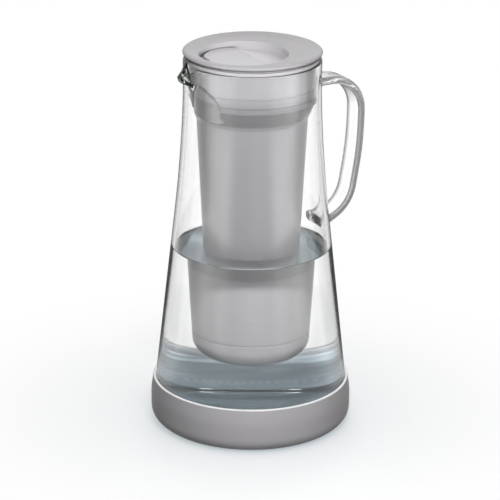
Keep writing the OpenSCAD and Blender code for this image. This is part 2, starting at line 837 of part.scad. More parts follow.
module carbon_top_pad() color(felt_colour)
    carbon_layer(carbon_top_z - carbon_cover_t - pad_t, carbon_top_z - carbon_cover_t);

module carbon_cover() color(white_plastic) difference() {
    carbon_layer(carbon_top_z - carbon_cover_t, carbon_top_z);
    outlet_holes(12, 12, carbon_top_z - 2 * carbon_cover_t, carbon_top_z + beyond);
    outlet_holes(6, 6, carbon_top_z - 2 * carbon_cover_t, carbon_top_z + beyond);
}

module carbon_gasket() color(soft_colour)
    ring(socket_r + 0.5, socket_r + socket_wall + 1.5, carbon_top_z, carbon_top_z + carbon_gasket_t);

module filter_cap() color(shell_colour) difference() {
    turned(rounded_path([
        [0, cap_z],
        [cap_r - 0.5, cap_z, cap_corner_r],
        [cap_r, seam_z, 0.3],
        [0, seam_z]
    ]));
    turned(rounded_path([
        [0, cap_floor_z],
        [cap_in_r, cap_floor_z, cap_corner_r - 2.5],
        [cap_in_r, seam_z + beyond],
        [0, seam_z + beyond]
    ]));
    outlet_holes(12, 12, cap_z - beyond, cap_floor_z + beyond);
    outlet_holes(6, 6, cap_z - beyond, cap_floor_z + beyond);
}

glass_jug();
glass_handle();
silicone_base();
reservoir();
neck_gasket();
cap_seal();
lid();
lid_plug_ring();
lid_seal();
flap_hinge_pin();
fill_flap();
membrane_base();
membrane_o_ring();
membrane_potting();
membrane_fibres();
membrane_cage();
membrane_cap();
carbon_cup();
carbon_bottom_pad();
carbon_media();
carbon_top_pad();
carbon_cover();
carbon_gasket();
filter_cap();
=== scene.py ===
import math

import bmesh
import bpy
from mathutils import Matrix, Vector


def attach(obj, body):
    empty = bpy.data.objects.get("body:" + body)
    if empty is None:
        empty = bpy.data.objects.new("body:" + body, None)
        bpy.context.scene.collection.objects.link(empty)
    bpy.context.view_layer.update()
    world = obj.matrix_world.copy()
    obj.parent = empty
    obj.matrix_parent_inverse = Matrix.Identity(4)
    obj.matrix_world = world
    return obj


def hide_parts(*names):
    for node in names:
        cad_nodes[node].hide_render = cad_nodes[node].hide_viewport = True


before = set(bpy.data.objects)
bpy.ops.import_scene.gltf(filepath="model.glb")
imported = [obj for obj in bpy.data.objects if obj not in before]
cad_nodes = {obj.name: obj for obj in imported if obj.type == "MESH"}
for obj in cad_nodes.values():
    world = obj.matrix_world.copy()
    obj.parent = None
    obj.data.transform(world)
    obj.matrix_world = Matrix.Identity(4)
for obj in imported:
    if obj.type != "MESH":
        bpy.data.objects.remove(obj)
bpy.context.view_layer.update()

# ---------------------------------------------------------------- camera
# A long lens on the spout's side of the jug, 30 degrees round from square to the
# handle, looking down on it by about 20 degrees.

camera_place = (-0.87809, -1.52090, 0.760)
camera_bearing, camera_drop, camera_roll = -30, 19.89, 0.38
lens = bpy.data.cameras.new("camera")
lens.sensor_width = 36
lens.lens = 192.64
lens.shift_x = -0.0026
lens.clip_end = 20
camera = bpy.data.objects.new("camera", lens)
camera.matrix_world = (
    Matrix.Translation(camera_place)
    @ Matrix.Rotation(math.radians(camera_bearing), 4, "Z")
    @ Matrix.Rotation(math.radians(90 - camera_drop), 4, "X")
    @ Matrix.Rotation(math.radians(camera_roll), 4, "Z")
)
bpy.context.scene.collection.objects.link(camera)
bpy.context.scene.camera = camera
bpy.context.scene.view_settings.view_transform = "Standard"


# ---------------------------------------------------------------- studio
# A white table that keeps a soft shadow, inside a ring of white walls, lit cards and
# black flags for the glass to pick up, with large soft boxes above.


def place_node(tree, kind, **settings):
    """Adds a shader node and sets its properties, and its inputs by name."""
    made = tree.nodes.new(kind)
    for key, value in settings.items():
        if hasattr(made, key):
            setattr(made, key, value)
        else:
            made.inputs[key.replace("_", " ")].default_value = value
    return made


def calculate(tree, operation, first, second=0.0, clamp=False):
    """A Math node; each operand is a socket or a number."""
    made = place_node(tree, "ShaderNodeMath", operation=operation, use_clamp=clamp)
    for socket, operand in zip(made.inputs, (first, second)):
        if isinstance(operand, (int, float)):
            socket.default_value = operand
        else:
            tree.links.new(operand, socket)
    return made.outputs[0]


def measure(tree, operation, vector, other=(0, 0, 0)):
    """A Vector Math node: LENGTH and DOT_PRODUCT give a value, the rest a vector."""
    made = place_node(tree, "ShaderNodeVectorMath", operation=operation)
    tree.links.new(vector, made.inputs[0])
    made.inputs[1].default_value = other
    return made.outputs["Value" if operation in ("LENGTH", "DOT_PRODUCT") else "Vector"]


def ramp(tree, value, low, high, from_value=0.0, to_value=1.0, smooth=True):
    """Goes from one value to another while the input goes from low to high."""
    made = place_node(
        tree, "ShaderNodeMapRange", interpolation_type="SMOOTHSTEP" if smooth else "LINEAR",
        From_Min=low, From_Max=high, To_Min=from_value, To_Max=to_value,
    )
    tree.links.new(value, made.inputs["Value"])
    return made.outputs["Result"]


def blend_colours(tree, factor, first, second, mode="MIX"):
    """A colour Mix node; each operand is a socket or a colour."""
    made = place_node(tree, "ShaderNodeMix", data_type="RGBA", blend_type=mode)
    for name, operand in (("Factor_Float", factor), ("A_Color", first), ("B_Color", second)):
        socket = next(s for s in made.inputs if s.identifier == name)
        if isinstance(operand, bpy.types.NodeSocket):
            tree.links.new(operand, socket)
        elif isinstance(operand, (int, float)):
            socket.default_value = operand
        else:
            socket.default_value = (*operand, 1)
    return next(s for s in made.outputs if s.identifier == "Result_Color")


def grey(brightness):
    """A neutral colour."""
    return (brightness,) * 3


def start_group(name, inputs, outputs):
    """A node group with named sockets; gives the group, its inputs and its outputs."""
    group = bpy.data.node_groups.new(name, "ShaderNodeTree")
    for way, sockets in (("INPUT", inputs), ("OUTPUT", outputs)):
        for label, kind in sockets.items():
            group.interface.new_socket(label, in_out=way, socket_type="NodeSocket" + kind)
    given = group.nodes.new("NodeGroupInput").outputs
    return group, given, group.nodes.new("NodeGroupOutput").inputs


def place_group(tree, group, **values):
    """Puts a node group into a material, with its inputs' own values."""
    made = tree.nodes.new("ShaderNodeGroup")
    made.node_tree = group
    for key, value in values.items():
        made.inputs[key].default_value = value
    return made


# The ring by bearing from the camera in degrees, with the brightness there: a dim room
# in front, a lit card to each side, a black flag past it, a white wall behind.
room_ring = (
    (-180, 1.0), (-132, 1.0), (-118, 0.20), (-105, 0.03), (-92, 1.1), (-66, 3.6),
    (-44, 2.4), (-20, 0.55), (0, 0.35), (20, 0.55), (46, 2.4), (70, 3.8),
    (94, 1.5), (107, 0.03), (120, 0.20), (134, 1.0), (180, 1.0),
)
ring_peak = max(brightness for _, brightness in room_ring)
front_wall, side_wall = grey(0.55), grey(1.08)
# Where the sides and the back begin, in whole turns away from the camera's side.
side_begins, back_begins = (0.24, 0.28), (0.345, 0.395)

# Cards and Flags are how much of the ring shows in front and to the sides, where plain
# walls stand otherwise, and Behind is the brightness at the back.
room, given, result = start_group(
    "room",
    {"Direction": "Vector", "Cards": "Float", "Flags": "Float", "Behind": "Float"},
    {"Brightness": "Float"},
)
turned_round = place_node(room, "ShaderNodeMapping", vector_type="POINT")
turned_round.inputs["Rotation"].default_value = (0, 0, math.radians(-camera_bearing))
room.links.new(given["Direction"], turned_round.inputs["Vector"])
compass = room.nodes.new("ShaderNodeSeparateXYZ")
room.links.new(turned_round.outputs[0], compass.inputs[0])
forward = calculate(room, "MULTIPLY", compass.outputs["Y"], -1.0)
bearing = calculate(room, "ARCTAN2", compass.outputs["X"], forward)
bearing = calculate(room, "MULTIPLY", bearing, 0.5 / math.pi)
bearing = calculate(room, "ADD", bearing, 0.5)
ring = room.nodes.new("ShaderNodeValToRGB")
ring.color_ramp.interpolation = "EASE"
stops = ring.color_ramp.elements
for degrees, _ in room_ring[1:-1]:
    stops.new((degrees + 180) / 360)
for stop, (_, brightness) in zip(stops, room_ring):
    stop.color = (*grey(brightness / ring_peak), 1)
room.links.new(bearing, ring.inputs["Fac"])
light = calculate(room, "MULTIPLY", ring.outputs["Color"], ring_peak)
off_ahead = calculate(room, "ABSOLUTE", calculate(room, "SUBTRACT", bearing, 0.5))
aside = ramp(room, off_ahead, *side_begins)
plain_wall = blend_colours(room, aside, front_wall, side_wall)
shown = blend_colours(room, aside, given["Cards"], given["Flags"])
light = blend_colours(room, shown, plain_wall, light)
behind = ramp(room, off_ahead, *back_begins)
light = blend_colours(room, behind, light, given["Behind"])
room.links.new(light, result["Brightness"])

# The table glows white, and less so near the jug, where the shadow lies. Glass finds
# the ring in it too: near the jug for rays inside the glass, and only far off for
# what its outside mirrors. Distances are from the jug's axis, in metres.
table_size, table_z = 12.0, -0.0004
shadow_fades, shadow_share, contact_reach = (0.11, 0.28), (0.78, 1.0), 0.13
cards_mirrored, cards_inside, ray_inside = (0.98, 1.12), (0.30, 0.42), (0.2, 0.8)
flags_begin, flags_share, bounce_ends = (0.20, 0.32), (0.0, 0.75), (0.073, 0.082)
contact_shade, table_white, table_dim = (0.50, 0.57, 0.60), (0.95, 0.96, 0.97), grey(0.20)
bounce_light, back_mirrored, back_inside = grey(0.13), grey(0.12), grey(1.08)

bm = bmesh.new()
bmesh.ops.create_grid(bm, x_segments=2, y_segments=2, size=table_size / 2)
bmesh.ops.translate(bm, verts=bm.verts[:], vec=(0, 0, table_z))
mesh = bpy.data.meshes.new("table_top")
bm.to_mesh(mesh)
bm.free()
table_top = bpy.data.objects.new("table_top", mesh)
bpy.context.scene.collection.objects.link(table_top)

table_paint = bpy.data.materials.new("table_paint")
table_paint.use_nodes = True
tree = table_paint.node_tree
tree.nodes.clear()
path = tree.nodes.new("ShaderNodeLightPath").outputs
place = tree.nodes.new("ShaderNodeTexCoord").outputs["Object"]
far = measure(tree, "LENGTH", place)
in_glass = calculate(tree, "MAXIMUM", path["Is Glossy Ray"], path["Is Transmission Ray"])
seen = calculate(tree, "MAXIMUM", path["Is Camera Ray"], in_glass)
white_share = ramp(tree, far, *shadow_fades, *shadow_share)
whiteness = calculate(tree, "MULTIPLY", white_share, seen)
inside = ramp(tree, path["Transmission Depth"], *ray_inside)
cards = blend_colours(
    tree, inside, ramp(tree, far, *cards_mirrored), ramp(tree, far, *cards_inside)
)
flags = ramp(tree, far, *flags_begin, *flags_share)
back = blend_colours(tree, inside, back_mirrored, back_inside)
around = place_group(tree, room)
for name, found in (
    ("Direction", place), ("Cards", cards), ("Flags", flags), ("Behind", back)
):
    tree.links.new(found, around.inputs[name])
# A painted contact shadow: the table's glow darkens where the jug hems it in.
contact = place_node(
    tree, "ShaderNodeAmbientOcclusion", samples=8, Distance=contact_reach
)
shaded = blend_colours(tree, contact.outputs["AO"], contact_shade, grey(1.0))
glow_colour = blend_colours(tree, in_glass, shaded, around.outputs["Brightness"])
# For diffuse rays the table is dim, but a ring round the jug's foot glows: painted bounce
# light on the boot from below.
diffuse = path["Is Diffuse Ray"]
paint_colour = blend_colours(tree, diffuse, table_white, table_dim)
bounce = calculate(tree, "MULTIPLY", ramp(tree, far, *bounce_ends, 1.0, 0.0), diffuse)
glow_colour = blend_colours(tree, diffuse, glow_colour, bounce_light)
paint = tree.nodes.new("ShaderNodeBsdfDiffuse")
tree.links.new(paint_colour, paint.inputs["Color"])
glow = tree.nodes.new("ShaderNodeEmission")
tree.links.new(glow_colour, glow.inputs["Color"])
mix = tree.nodes.new("ShaderNodeMixShader")
tree.links.new(calculate(tree, "MAXIMUM", whiteness, bounce), mix.inputs[0])
tree.links.new(paint.outputs[0], mix.inputs[1])
tree.links.new(glow.outputs[0], mix.inputs[2])
output = tree.nodes.new("ShaderNodeOutputMaterial")
tree.links.new(mix.outputs[0], output.inputs["Surface"])
mesh.materials.append(table_paint)

# The room's walls and ceiling. Plain surfaces get little light from them, and seen
# directly they are white.
ceiling_begins, ceiling, wall_light, backdrop = (0.35, 0.75), grey(0.7), grey(0.06), grey(1)
world = bpy.data.worlds.new("studio")
world.use_nodes = True
bpy.context.scene.world = world
tree = world.node_tree
tree.nodes.clear()
path = tree.nodes.new("ShaderNodeLightPath").outputs
way = tree.nodes.new("ShaderNodeTexCoord").outputs["Generated"]
around = place_group(tree, room, Cards=1.0, Flags=0.9, Behind=1.08)
tree.links.new(way, around.inputs["Direction"])
rise = tree.nodes.new("ShaderNodeSeparateXYZ")
tree.links.new(way, rise.inputs[0])
overhead = ramp(tree, rise.outputs["Z"], *ceiling_begins)
ring_light = blend_colours(tree, overhead, around.outputs["Brightness"], ceiling)
in_glass = calculate(tree, "MAXIMUM", path["Is Glossy Ray"], path["Is Transmission Ray"])
strength = blend_colours(tree, in_glass, wall_light, ring_light)
strength = blend_colours(tree, path["Is Camera Ray"], strength, backdrop)
sky = tree.nodes.new("ShaderNodeBackground")
tree.links.new(strength, sky.inputs["Strength"])
output = tree.nodes.new("ShaderNodeOutputWorld")
tree.links.new(sky.outputs[0], output.inputs["Surface"])


def soft_box(name, azimuth, elevation, reach, size, watts, aim=0.14, mirrored=True):
    """A soft box on a stand, turned towards the jug's axis; glass may mirror it.

    Its azimuth and elevation are in degrees, its reach and size in metres."""
    lamp = bpy.data.lights.new(name, "AREA")
    lamp.shape = "RECTANGLE"
    lamp.size, lamp.size_y = size
    lamp.energy = watts
    stand = bpy.data.objects.new(name, lamp)
    angle, rise = math.radians(azimuth), math.radians(elevation)
    spot = Vector((
        math.sin(angle) * math.cos(rise), -math.cos(angle) * math.cos(rise), math.sin(rise)
    )) * reach + Vector((0, 0, aim))
    turn = (Vector((0, 0, aim)) - spot).to_track_quat("-Z", "Y")
    stand.matrix_world = Matrix.Translation(spot) @ turn.to_matrix().to_4x4()
    stand.visible_camera = False
    stand.visible_glossy = stand.visible_transmission = mirrored
    bpy.context.scene.collection.objects.link(stand)


soft_box("box_front", -25, 38, reach=0.66, size=(0.14, 0.07), watts=2.9, mirrored=False)
soft_box(
    "strip_front", -22, 0, reach=0.25, size=(0.04, 0.30), watts=0.20, aim=0.155, mirrored=False
)
soft_box("box_left", -75, 36, reach=1.5, size=(0.5, 0.3), watts=0.7)
soft_box("box_right", 17, 36, reach=1.5, size=(0.5, 0.3), watts=0.8)
soft_box("box_above", -30, 86, reach=1.6, size=(1.4, 1.4), watts=5.2)
soft_box("box_behind", 150, 34, reach=1.1, size=(0.5, 0.35), watts=5.0, mirrored=False)


# ---------------------------------------------------------------- glass jug
# A tall cone with a straight neck, of thick clear glass blown into a mould, with a
# fire-polished rim and a spout pulled out of the hot neck. Its foot stands in the
# silicone boot, 0.15 mm clear of it. Sizes of pieces are in mm.

rim_z, neck_r, bore_r, glass_t = 263.2, 47.5, 44.6, 2.9
neck_z, inner_neck_z, neck_from_z = 208.0, 207.8, 200.0
foot_r, floor_z, inner_floor_z = 70.4, 3.0, 7.5
foot_round, inner_foot_round = 12.0, 9.1
shoulder_round, inner_shoulder_round, rim_round = 850.0, 852.9, 1.1
cone_slope = (foot_r - neck_r) / (neck_z - floor_z)
wall_across = glass_t * math.hypot(1, cone_slope)
boot_top_z, boot_gap = 32.5, 0.15
water_z = 129.0
crease_angle, weld_gap = 50, 2e-6

# The spout: how far it is drawn out, its tip and its height, how its flanks, its
# throat and its dipped lip fall off, and how far round the neck it goes, in radians.
spout_reach, spout_tip_r, spout_h = 10.2, 3.3, 19.0
flank_reach, flank_spread, flank_power = spout_reach - 0.8, 5.6, 1.35
plan_blend, throat_h, throat_lag = 0.6, 6.2, 1.4
lip_dip, dip_from_r = 0.5, 46.2
spout_angle, spout_crowding = 0.8, 0.62

# Directions on the jug that lie across and along the line from the camera.
across_jug, towards_camera = (0.866, -0.5, 0), (-0.5, -0.866, 0)


def turned(corners, steps=160, split=()):
    """A bmesh in metres, spun about Z from corners of (radius, height, rounding) in mm.

    split holds (first corner, cuts) for long stretches that need more rows."""
    bm = bmesh.new()
    points = [bm.verts.new((r / 1000, 0, z / 1000)) for r, z, _ in corners]
    lines = [bm.edges.new(pair) for pair in zip(points, points[1:])]
    for first, cuts in split:
        bmesh.ops.subdivide_edges(bm, edges=[lines[first]], cuts=cuts)
    for before, corner, after in zip(corners, corners[1:], corners[2:]):
        rounding = corner[2]
        if rounding > 0:
            place = Vector((corner[0] / 1000, 0, corner[1] / 1000))
            point = min(bm.verts, key=lambda vert: (vert.co - place).length)
            inward = Vector(before[:2]) - Vector(corner[:2])
            onward = Vector(after[:2]) - Vector(corner[:2])
            half = inward.angle(onward) / 2
            arc = math.degrees(math.pi - 2 * half)
            # A row for each 9 degrees, and 20 for a long sweep such as the shoulder.
            rows = max(3, round(arc / 9)) if rounding < 100 else 20
            bmesh.ops.bevel(
                bm, geom=[point], offset=rounding / math.tan(half) / 1000,
                offset_type="OFFSET", segments=rows, profile=0.5, affect="VERTICES",
                material=-1,
            )
    bmesh.ops.spin(
        bm, geom=bm.verts[:] + bm.edges[:], cent=(0, 0, 0), axis=(0, 0, 1),
        angle=2 * math.pi, steps=steps, use_merge=True,
    )
    bmesh.ops.remove_doubles(bm, verts=bm.verts[:], dist=weld_gap)
    bmesh.ops.recalc_face_normals(bm, faces=bm.faces[:])
    return bm


def fit_piece(name, bm, material, body, slot, *replaced):
    """Makes the piece, smooth but for its creases, and fits it to its body."""
    mesh = bpy.data.meshes.new(name)
    bm.to_mesh(mesh)
    bm.free()
    mesh.materials.append(material)
    mesh.shade_smooth()
    mesh.set_sharp_from_angle(angle=math.radians(crease_angle))
    piece = bpy.data.objects.new(name, mesh)
    bpy.context.scene.collection.objects.link(piece)
    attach(piece, body)
    if replaced:
        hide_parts(*replaced)


def cone_r(z):
    """The outer radius of the cone at a height."""
    return foot_r - (z - floor_z) * cone_slope


def soft_maximum(first, second, width):
    """The larger of two, rounded over where they cross."""
    overlap = max(width - abs(first - second), 0.0) / width
    return max(first, second) + overlap * overlap * width / 4


def spout_plan(aside):
    """How far the spout is drawn out at a distance aside of its middle, in mm."""
    tip = math.sqrt(spout_tip_r ** 2 - aside ** 2) if aside < spout_tip_r else -spout_reach
    flank = math.exp(-(max(0.0, aside - spout_tip_r / 2) / flank_spread) ** flank_power)
    return soft_maximum(spout_reach - spout_tip_r + tip, flank_reach * flank, plan_blend)


bm = turned(
    [
        (0, floor_z, 0),
        (foot_r, floor_z, foot_round),
        (neck_r, neck_z, shoulder_round),
        (neck_r, rim_z - spout_h, 0),
        (neck_r, rim_z, rim_round),
        (bore_r, rim_z, rim_round),
        (bore_r, rim_z - spout_h, 0),
        (bore_r, inner_neck_z, inner_shoulder_round),
        (cone_r(inner_floor_z) - wall_across, inner_floor_z, inner_foot_round),
        (0, inner_floor_z, 0),
    ],
    steps=220,
    split=[(3, 30), (5, 30)],
)
for vert in bm.verts:
    x, y, z = (1000 * c for c in vert.co)
    r = math.hypot(x, y)
    mid_wall = cone_r(z) - wall_across / 2 if z < neck_from_z else (neck_r + bore_r) / 2
    outside = r > mid_wall
    # The foot is drawn in by the gap, so that it doesn't touch the boot.
    if z < boot_top_z and (outside or z < inner_floor_z - 1):
        r -= boot_gap if z > floor_z + foot_round else boot_gap * r / foot_r
        z = max(z, floor_z + boot_gap)
    # More columns of faces crowd towards the spout, and the neck is drawn out there.
    angle = math.atan2(y, -x)
    angle -= spout_crowding * math.sin(angle)
    depth = rim_z - z
    if depth < spout_h and abs(angle) < spout_angle:
        plan = spout_plan(abs(angle) * neck_r)
        fall = lip_dip * max(0.0, (r + plan) * math.cos(angle) - dip_from_r)
        below = max(0.0, depth - fall * depth / spout_h) + (0.0 if outside else throat_lag)
        r += plan * math.exp(-(below / throat_h) ** 3)
        z -= fall * (1 - depth / spout_h)
    vert.co = (-r * math.cos(angle) / 1000, r * math.sin(angle) / 1000, z / 1000)
bmesh.ops.recalc_face_normals(bm, faces=bm.faces[:])


def place_on_object(tree):
    """Object coordinates in metres: the vector, then X, Y and Z by name."""
    place = tree.nodes.new("ShaderNodeTexCoord").outputs["Object"]
    split = tree.nodes.new("ShaderNodeSeparateXYZ")
    tree.links.new(place, split.inputs[0])
    return place, split.outputs


# Faint smears and drying marks: a mask, and a slow swell of the surface.
smear_shows, smear_amount, swell_relief, swell_depth = (0.52, 0.72), 0.05, 0.05, 0.001
hand_marks, given, result = start_group(
    "hand_marks", {"Amount": "Float"}, {"Mask": "Float", "Swell": "Float"}
)
place = hand_marks.nodes.new("ShaderNodeTexCoord").outputs["Object"]
smear = place_node(hand_marks, "ShaderNodeTexNoise", Scale=38.0, Detail=5.0, Distortion=1.2)
swell = place_node(hand_marks, "ShaderNodeTexNoise", Scale=14.0, Detail=1.0)
hand_marks.links.new(place, smear.inputs["Vector"])
hand_marks.links.new(place, swell.inputs["Vector"])
mask = ramp(hand_marks, smear.outputs["Fac"], *smear_shows)
mask = calculate(hand_marks, "MULTIPLY", mask, given["Amount"])
hand_marks.links.new(mask, result["Mask"])
hand_marks.links.new(swell.outputs["Fac"], result["Swell"])

# Where the painted shades lie, in metres, and how strong they are: a blue-grey cast in the
# foot, darker to the sides, a dark green at the spout's tip and dark edges, all painted for
# what the glass refracts and mirrors. An edge is where the glass turns away from the eye.
clear_tint, painted_edge_shade = (0.997, 0.999, 0.998), (0.20, 0.22, 0.21)
painted_foot_z, foot_sides, foot_side_share = (0.024, 0.034), (0.032, 0.058), 0.6
spout_tip_x, spout_tip_z, tip_edge_share = (-0.0505, -0.0465), (0.244, 0.252), 0.35
edge_full, line_fade = 0.93, 0.0003


def clear_material(
    name, ior, painted_foot_shade, shade_low, shade_high, line_z, edge_from=None, painted_tip_shade=None
):
    """Clear glass or water, with painted shade in its foot, at its spout's tip and along its
    edges.

    It lets light through to what stands behind it, shaded by one colour below the
    height line_z and by another above it."""
    material = bpy.data.materials.new(name)
    material.use_nodes = True
    tree = material.node_tree
    body = tree.nodes["Principled BSDF"]
    body.inputs["IOR"].default_value = ior
    body.inputs["Transmission Weight"].default_value = 1.0
    place, along = place_on_object(tree)
    # Painted shade in the foot: a blue-grey cast, darker to both sides.
    foot = ramp(tree, along["Z"], *painted_foot_z, 1.0, 0.0)
    aside = calculate(tree, "ABSOLUTE", measure(tree, "DOT_PRODUCT", place, across_jug))
    painted_side_shade = tuple(foot_side_share * part for part in painted_foot_shade)
    deep = blend_colours(tree, ramp(tree, aside, *foot_sides), painted_foot_shade, painted_side_shade)
    colour_and_shade = blend_colours(tree, foot, clear_tint, deep)
    # Painted shade at the spout's tip and, where the glass turns away, along its edges.
    if painted_tip_shade:
        tip = calculate(
            tree, "MULTIPLY", ramp(tree, along["X"], *spout_tip_x, 1.0, 0.0),
            ramp(tree, along["Z"], *spout_tip_z),
        )
        colour_and_shade = blend_colours(tree, tip, colour_and_shade, painted_tip_shade)
    if edge_from:
        facing = tree.nodes.new("ShaderNodeLayerWeight").outputs["Facing"]
        slanted = ramp(tree, facing, edge_from, edge_full)
        if painted_tip_shade:
            kept = ramp(tree, tip, 0.0, 1.0, 1.0, tip_edge_share)
            slanted = calculate(tree, "MULTIPLY", slanted, kept)
        colour_and_shade = blend_colours(tree, slanted, colour_and_shade, painted_edge_shade)
    tree.links.new(colour_and_shade, body.inputs["Base Color"])
    marks = place_group(tree, hand_marks, Amount=smear_amount)
    tree.links.new(marks.outputs["Mask"], body.inputs["Roughness"])
    bump = place_node(
        tree, "ShaderNodeBump", Strength=swell_relief, Distance=swell_depth
    )
    tree.links.new(marks.outputs["Swell"], bump.inputs["Height"])
    tree.links.new(bump.outputs[0], body.inputs["Normal"])
    path = tree.nodes.new("ShaderNodeLightPath").outputs
    clear = tree.nodes.new("ShaderNodeBsdfTransparent")
    above = ramp(tree, along["Z"], line_z - line_fade, line_z + line_fade, smooth=False)
    tree.links.new(blend_colours(tree, above, shade_low, shade_high), clear.inputs["Color"])
    passing = calculate(tree, "MAXIMUM", path["Is Shadow Ray"], path["Is Diffuse Ray"])
    mix = tree.nodes.new("ShaderNodeMixShader")
    tree.links.new(passing, mix.inputs[0])
    tree.links.new(body.outputs[0], mix.inputs[1])
    tree.links.new(clear.outputs[0], mix.inputs[2])
    tree.links.new(mix.outputs[0], tree.nodes["Material Output"].inputs["Surface"])
    return material


glass_ior = 1.47
glass_shades = {
    "shade_low": (0.97, 0.98, 0.98), "shade_high": (0.86, 0.865, 0.87),
    "line_z": water_z / 1000,
}
clear_glass = clear_material(
    "clear_glass", glass_ior, painted_foot_shade=(0.75, 0.82, 0.85), edge_from=0.60,
    painted_tip_shade=(0.58, 0.66, 0.56), **glass_shades,
)
fit_piece("glass_jug_blown", bm, clear_glass, "jug", "clear_glass", "glass_jug")


# ---------------------------------------------------------------- glass handle
# A flat strap of the same glass, bent hot and fused to the neck and the cone,
# where it spreads a little into the wall.

handle_w, handle_t, handle_edge = 18.0, 5.6, 2.4
top_z, foot_z, handle_x = 241.2, 141.7, 84.4
foot_end_z = foot_z - 2.2
neck_spread, foot_spread, spread_fade, spread_end = 0.16, 0.30, 3.2, 16
# A row of faces for each 3 mm of a straight stretch and each 4 degrees of a bend.
row_length, row_bend, last_rows = 3, 4, 8
# The middle of the strap: (distance from the axis, height, radius of the bend).
handle_corners = [
    (46.9, top_z, 0),
    (handle_x, top_z, 24),
    (handle_x - 1.1, top_z - 49.75, 220),
    (handle_x - 10.2, foot_z, 28),
    (cone_r(foot_z) - 0.6, foot_end_z, 0),
]


def draw_out(bm, ends, reach, rows):
    """Pulls the end face out along a straight stretch; gives the new end face."""
    for _ in range(rows):
        grown = bmesh.ops.extrude_face_region(bm, geom=ends)["geom"]
        moved = [part for part in grown if isinstance(part, bmesh.types.BMVert)]
        bmesh.ops.translate(bm, verts=moved, vec=reach / rows / 1000)
        ends = [part for part in grown if isinstance(part, bmesh.types.BMFace)]
    return ends


bm = bmesh.new()
for across, along in ((1, 1), (-1, 1), (-1, -1), (1, -1)):
    bm.verts.new((handle_corners[0][0] / 1000, along * handle_w / 2000,
                  (top_z + across * handle_t / 2) / 1000))
bm.faces.new(bm.verts)
bmesh.ops.bevel(
    bm, geom=bm.verts[:], offset=handle_edge / 1000, offset_type="OFFSET", segments=6,
    profile=0.5, affect="VERTICES", material=-1,
)
ends = bm.faces[:]
spot = Vector((handle_corners[0][0], 0, top_z))
heading = Vector((1, 0, 0))
for corner, after in zip(handle_corners[1:], handle_corners[2:]):
    turn_point = Vector((corner[0], 0, corner[1]))
    onward = Vector((after[0] - corner[0], 0, after[1] - corner[1])).normalized()
    bend = heading.angle(onward)
    setback = corner[2] * math.tan(bend / 2)
    start = turn_point - heading * setback
    rows = max(2, round((start - spot).length / row_length))
    ends = draw_out(bm, ends, start - spot, rows)
    axis = heading.cross(onward).normalized()
    bent = bmesh.ops.spin(
        bm, geom=ends, cent=(start + axis.cross(heading) * corner[2]) / 1000, axis=axis,
        angle=bend, steps=max(8, round(math.degrees(bend) / row_bend)),
    )
    ends = [part for part in bent["geom_last"] if isinstance(part, bmesh.types.BMFace)]
    spot = turn_point + onward * setback
    heading = onward
last = Vector((handle_corners[-1][0], 0, handle_corners[-1][1]))
ends = draw_out(bm, ends, last - spot, last_rows)
# Faces that a bend left across the inside of the strap go, and its two ends close.
inner = [
    face for face in bm.faces
    if len(face.verts) > 4 and all(len(edge.link_faces) > 2 for edge in face.edges)
]
bmesh.ops.delete(bm, geom=inner, context="FACES_ONLY")
bmesh.ops.holes_fill(bm, edges=[edge for edge in bm.edges if edge.is_boundary])
for vert in bm.verts:
    place = vert.co * 1000
    at_neck = place.z > neck_from_z
    middle_z = top_z if at_neck else foot_end_z
    off_wall = place.x - (neck_r if at_neck else cone_r(foot_z))
    most = neck_spread if at_neck else foot_spread
    spread = 1 + most * math.exp(-max(0.0, off_wall) / spread_fade)
    if off_wall < spread_end:
        vert.co.y *= spread
        vert.co.z = (middle_z + (place.z - middle_z) * spread) / 1000
bmesh.ops.recalc_face_normals(bm, faces=bm.faces[:])

# The strap's two long edges are seen end on, and painted shade makes them darker than its
# flats.
far_edge_y, near_edge_y, near_edge_share = (0.0058, 0.0088), (-0.0086, -0.0068), 0.52
painted_strap_edge_shade = (0.11, 0.115, 0.11)
handle_glass = clear_material(
    "handle_glass", glass_ior, painted_foot_shade=(1, 1, 1), edge_from=0.42, **glass_shades
)
tree = handle_glass.node_tree
colour = tree.nodes["Principled BSDF"].inputs["Base Color"]
_, along = place_on_object(tree)
edges = calculate(
    tree, "MAXIMUM", ramp(tree, along["Y"], *far_edge_y),
    ramp(tree, along["Y"], *near_edge_y, near_edge_share, 0.0),
)
colour_and_shade = colour.links[0].from_socket
tree.links.new(blend_colours(tree, edges, colour_and_shade, painted_strap_edge_shade), colour)
fit_piece("glass_handle_strap", bm, handle_glass, "jug", "clear_glass", "glass_handle")


# ---------------------------------------------------------------- silicone base
# Soft grey boot, moulded in one piece and stretched over the foot of the glass.
# Its inner faces are painted pale, with painted shade and a painted glow, for the light
# that the foot of the glass gathers; the lip's top has a painted highlight.

# Fine mould texture, slow tone changes and scuffs, for all that is moulded.
moulded_grain, given, result = start_group(
    "moulded_grain",
    {"Colour": "Color", "Grain": "Float", "Gloss": "Float", "Scuffs": "Float"},
    {"Colour": "Color", "Roughness": "Float", "Height": "Float"},
)
scuff_colour, scuff_shows, scuff_dulls = (0.72, 0.71, 0.72), (0.62, 0.74), 0.2
tone_swing, gloss_swing, grain_depth = (0.96, 1.04), (-0.06, 0.06), 0.0001
place = moulded_grain.nodes.new("ShaderNodeTexCoord").outputs["Object"]
grain = place_node(moulded_grain, "ShaderNodeTexNoise", Detail=3.0)
moulded_grain.links.new(given["Grain"], grain.inputs["Scale"])
cloud = place_node(moulded_grain, "ShaderNodeTexNoise", Scale=22.0, Detail=4.0)
scuff_place = place_node(moulded_grain, "ShaderNodeMapping")
scuff_place.inputs["Scale"].default_value = (90.0, 90.0, 900.0)
scuff = place_node(moulded_grain, "ShaderNodeTexNoise", Scale=1.0, Detail=6.0, Distortion=0.6)
